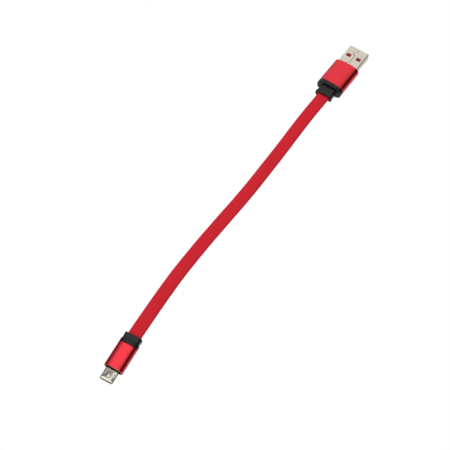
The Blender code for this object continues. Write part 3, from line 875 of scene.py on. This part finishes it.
A_CORNER = 0.6
A_WINDOW_SIZE = (2.25, 2.7)
A_WINDOW_CORNER = 0.18
A_WINDOW_X = -6.75
A_WINDOW_SIDE = 3.1
A_WINDOW_BOTTOMS = (("top", 1.0), ("bottom", -3.0))
A_WINDOW_DEPTH = 2.0
# The butt seam along the shell's top, as (x, y). It is open enough to see, closed tight where it steps
# out to each dovetail, and only a groove at the front, where the wall meets the rim.
A_SEAM_WIDTH = 0.27
A_SEAM_OPEN = (
    ((-0.9, 0.0), (-2.9, 0.0)),
    ((-3.1, 1.35), (-4.95, 1.35), (-5.1, 0.05), (-11.2, 0.05)),
    ((-11.4, 1.4), (-13.2, 1.4), (-13.4, 0.05), (-20.0, 0.05)),
)
A_SEAM_TIGHT_WIDTH = 0.08
A_SEAM_TIGHT = (
    ((-2.9, 0.0), (-3.1, 1.35)),
    ((-11.2, 0.05), (-11.4, 1.4)),
)
A_SEAM_FRONT = ((1.0, 0.0), (-0.95, 0.0))
A_SEAM_FRONT_DEPTH = 0.2
A_SEAM_HEIGHTS = (1.0, 3.0)
B_WALL = 0.25
B_CORNER = 0.75
B_BOTTOM_SIDE = 2.55
B_CHAMFER_TOP = -0.05
B_MOUTH = 0.12
B_SLOT_SIZE = (3.4, 0.72)
B_SLOT_CORNER = 0.12
B_SLOT_X = -2.7
B_SLOT_HEIGHTS = (0.3, 2.0)
B_LATCH_SIDE = 2.45
B_BOSS = (-2.4, 0.0)
# The groove round the boss: its inner and outer radius at the top, and on its floor
B_BOSS_TOP = (0.58, 1.35)
B_BOSS_FLOOR = (0.7, 0.9)
B_BOSS_DEPTH = 0.12
B_BOSS_ABOVE = 0.05
HOLE_CORNER_STEPS = 4
RING_STEPS = 48


def hole(size, corner, x, side):
    """A rounded opening's outline as (x, y), with its middle at x and side."""
    outline = rectangle(*size, corner, 0.0, HOLE_CORNER_STEPS)
    return [(x + along, side + across) for along, across in outline]


def fine_a_shell():
    """A folded box with a butt seam and dovetails on top, four windows and a rolled mouth."""
    low, high = extent("usb_a_shell", PLUG_A)
    width = high.y - low.y
    height = high.z - low.z

    def outline(inset):
        return rectangle(width, height, A_CORNER, inset)

    sections = (
        (-0.25, outline(A_WALL)),
        (-0.03, outline(A_WALL - 0.06)),
        (0.0, outline(A_WALL - 0.1)),
        (0.0, outline(0.11)),
        (-0.05, outline(0.03)),
        (-0.14, outline(0.0)),
        (low.x, outline(0.0)),
        (low.x, outline(A_WALL)),
    )
    name = "usb_a_shell_skin"
    mesh = loft(name, sections, "joined", degrees=28)
    shell = add_piece(name, mesh, PLUG_A, [NICKEL], "root", ("usb_a_shell",))
    cutters = []
    for face, bottom in A_WINDOW_BOTTOMS:
        for hand, side in (("left", A_WINDOW_SIDE), ("right", -A_WINDOW_SIDE)):
            window = hole(A_WINDOW_SIZE, A_WINDOW_CORNER, A_WINDOW_X, side)
            cutter = prism(f"window_{face}_{hand}", window, bottom, bottom + A_WINDOW_DEPTH)
            cutters.append((cutter, None))
    for index, line in enumerate(A_SEAM_OPEN):
        cutters.append((ribbon(f"seam_open_{index}", line, *A_SEAM_HEIGHTS), A_SEAM_WIDTH))
    for index, line in enumerate(A_SEAM_TIGHT):
        cutters.append((ribbon(f"seam_tight_{index}", line, *A_SEAM_HEIGHTS), A_SEAM_TIGHT_WIDTH))
    groove = ribbon("seam_front", A_SEAM_FRONT, high.z - A_SEAM_FRONT_DEPTH, A_SEAM_HEIGHTS[1])
    cutters.append((groove, A_SEAM_WIDTH))
    carve(shell, cutters, degrees=28)


def ring_groove(name, centre, profile):
    """A ring round a vertical line, from a closed profile of (radius, z) points."""
    rings = []
    for step in range(RING_STEPS):
        angle = 2 * math.pi * step / RING_STEPS
        cos = math.cos(angle)
        sin = math.sin(angle)
        rings.append([(centre[0] + radius * cos, centre[1] + radius * sin, z) for radius, z in profile])
    return skin(name, rings, "joined")


def fine_b_shell():
    """A flat shell with cut lower corners, a rolled mouth, two latch slots and a stamped round boss."""
    low, high = extent("micro_shell", PLUG_B)
    y = (high.y - low.y) / 2
    top = high.z
    corners = (
        (y, top),
        (-y, top),
        (-y, B_CHAMFER_TOP),
        (-B_BOTTOM_SIDE, -top),
        (B_BOTTOM_SIDE, -top),
        (y, B_CHAMFER_TOP),
    )

    def outline(inset):
        return rounded(corners, B_CORNER, inset)

    sections = (
        (-0.3, outline(B_WALL)),
        (B_MOUTH, outline(B_WALL - 0.01)),
        (B_MOUTH, outline(B_WALL - 0.04)),
        (-0.16, outline(0.02)),
        (-0.22, outline(0.0)),
        (low.x, outline(0.0)),
        (low.x, outline(B_WALL)),
    )
    name = "micro_shell_skin"
    mesh = loft(name, sections, "joined", degrees=40)
    shell = add_piece(name, mesh, PLUG_B, [MICRO_NICKEL], "root", ("micro_shell",))
    cutters = []
    for hand, side in (("left", B_LATCH_SIDE), ("right", -B_LATCH_SIDE)):
        slot = hole(B_SLOT_SIZE, B_SLOT_CORNER, B_SLOT_X, side)
        cutters.append((prism(f"latch_slot_{hand}", slot, *B_SLOT_HEIGHTS), None))
    above = top + B_BOSS_ABOVE
    floor = top - B_BOSS_DEPTH
    profile = (
        (B_BOSS_TOP[0], above),
        (B_BOSS_FLOOR[0], floor),
        (B_BOSS_FLOOR[1], floor),
        (B_BOSS_TOP[1], above),
    )
    cutters.append((ring_groove("boss_groove", B_BOSS, profile), None))
    carve(shell, cutters, degrees=28)


add_camera()
add_world()
add_floor()
bpy.context.scene.view_settings.view_transform = "Standard"

RED_METAL = anodised_red()
RIM_METAL = cut_rim()
NICKEL = nickel("nickel_plate", False)
# The micro-B shell's worn nickel, with painted dark reflections on its top
MICRO_NICKEL = nickel("nickel_plate_worn_painted_reflections", True)
STEEL = spring_steel()
GOLD = gold_plate()
BLACK = moulded(
    "collar_black", (0.005, 0.0052, 0.0054), (0.0035, 0.0037, 0.004), (0.2, 0.3), 4.0e-6,
    specular=0.75, tint=0.4,
)
INSULATOR = moulded(
    "insulator_red", (0.3, 0.008, 0.02), (0.25, 0.006, 0.016), (0.38, 0.5), 4.0e-6, specular=0.25
)
NATURAL = moulded("mould_natural", (0.76, 0.74, 0.69), (0.66, 0.64, 0.58), (0.4, 0.55), 8.0e-6)

build_jacket()
fine_sleeve("usb_a_sleeve_skin", "usb_a_sleeve", PLUG_A, A_SLEEVE_POWER, False)
fine_sleeve("micro_sleeve_skin", "micro_sleeve", PLUG_B, B_SLEEVE_POWER, True)
fine_collar(
    "usb_a_collar_skin", "usb_a_collar", PLUG_A, "usb_a_sleeve", A_SLEEVE_POWER,
    A_FLANGE_END, A_FLANGE_ROUNDING, A_NECK,
)
fine_collar(
    "micro_collar_skin", "micro_collar", PLUG_B, "micro_sleeve", B_SLEEVE_POWER,
    B_FLANGE_END, B_FLANGE_ROUNDING, B_NECK,
)
fine_a_shell()
fine_b_shell()

# Where the wires' insulation ends, at their lowest and highest X
CORE_ENDS = (-102.6 * MM, 95.9 * MM)
# Pieces that stay as they are in the CAD: material, and the width of their softened edges in millimetres
KEPT = {
    "usb_a_insulator": (INSULATOR, 0.06),
    "usb_a_inner_mould": (NATURAL, 0.08),
    "micro_insulator": (INSULATOR, 0.03),
    "micro_inner_mould": (BLACK, 0.08),
    "micro_latch_left": (STEEL, 0.04),
    "micro_latch_right": (STEEL, 0.04),
}
for contact in ("vbus", "data_minus", "data_plus", "ground"):
    KEPT[f"usb_a_contact_{contact}"] = (GOLD, 0.04)
for number in range(1, 6):
    KEPT[f"micro_contact_spring_{number}"] = (GOLD, 0.03)
for wire, light, dark in (
    ("vbus", (0.6, 0.02, 0.02), (0.5, 0.015, 0.015)),
    ("data_minus", (0.8, 0.8, 0.78), (0.7, 0.7, 0.67)),
    ("data_plus", (0.02, 0.3, 0.06), (0.015, 0.24, 0.045)),
    ("ground", (0.02, 0.02, 0.02), (0.014, 0.014, 0.014)),
):
    KEPT[f"wire_{wire}"] = (wire_insulation(f"insulation_{wire}", light, dark, CORE_ENDS), None)
for name, (material, width) in KEPT.items():
    NODES[name].data.materials.clear()
    NODES[name].data.materials.append(material)
    if width:
        soften(NODES[name], width)
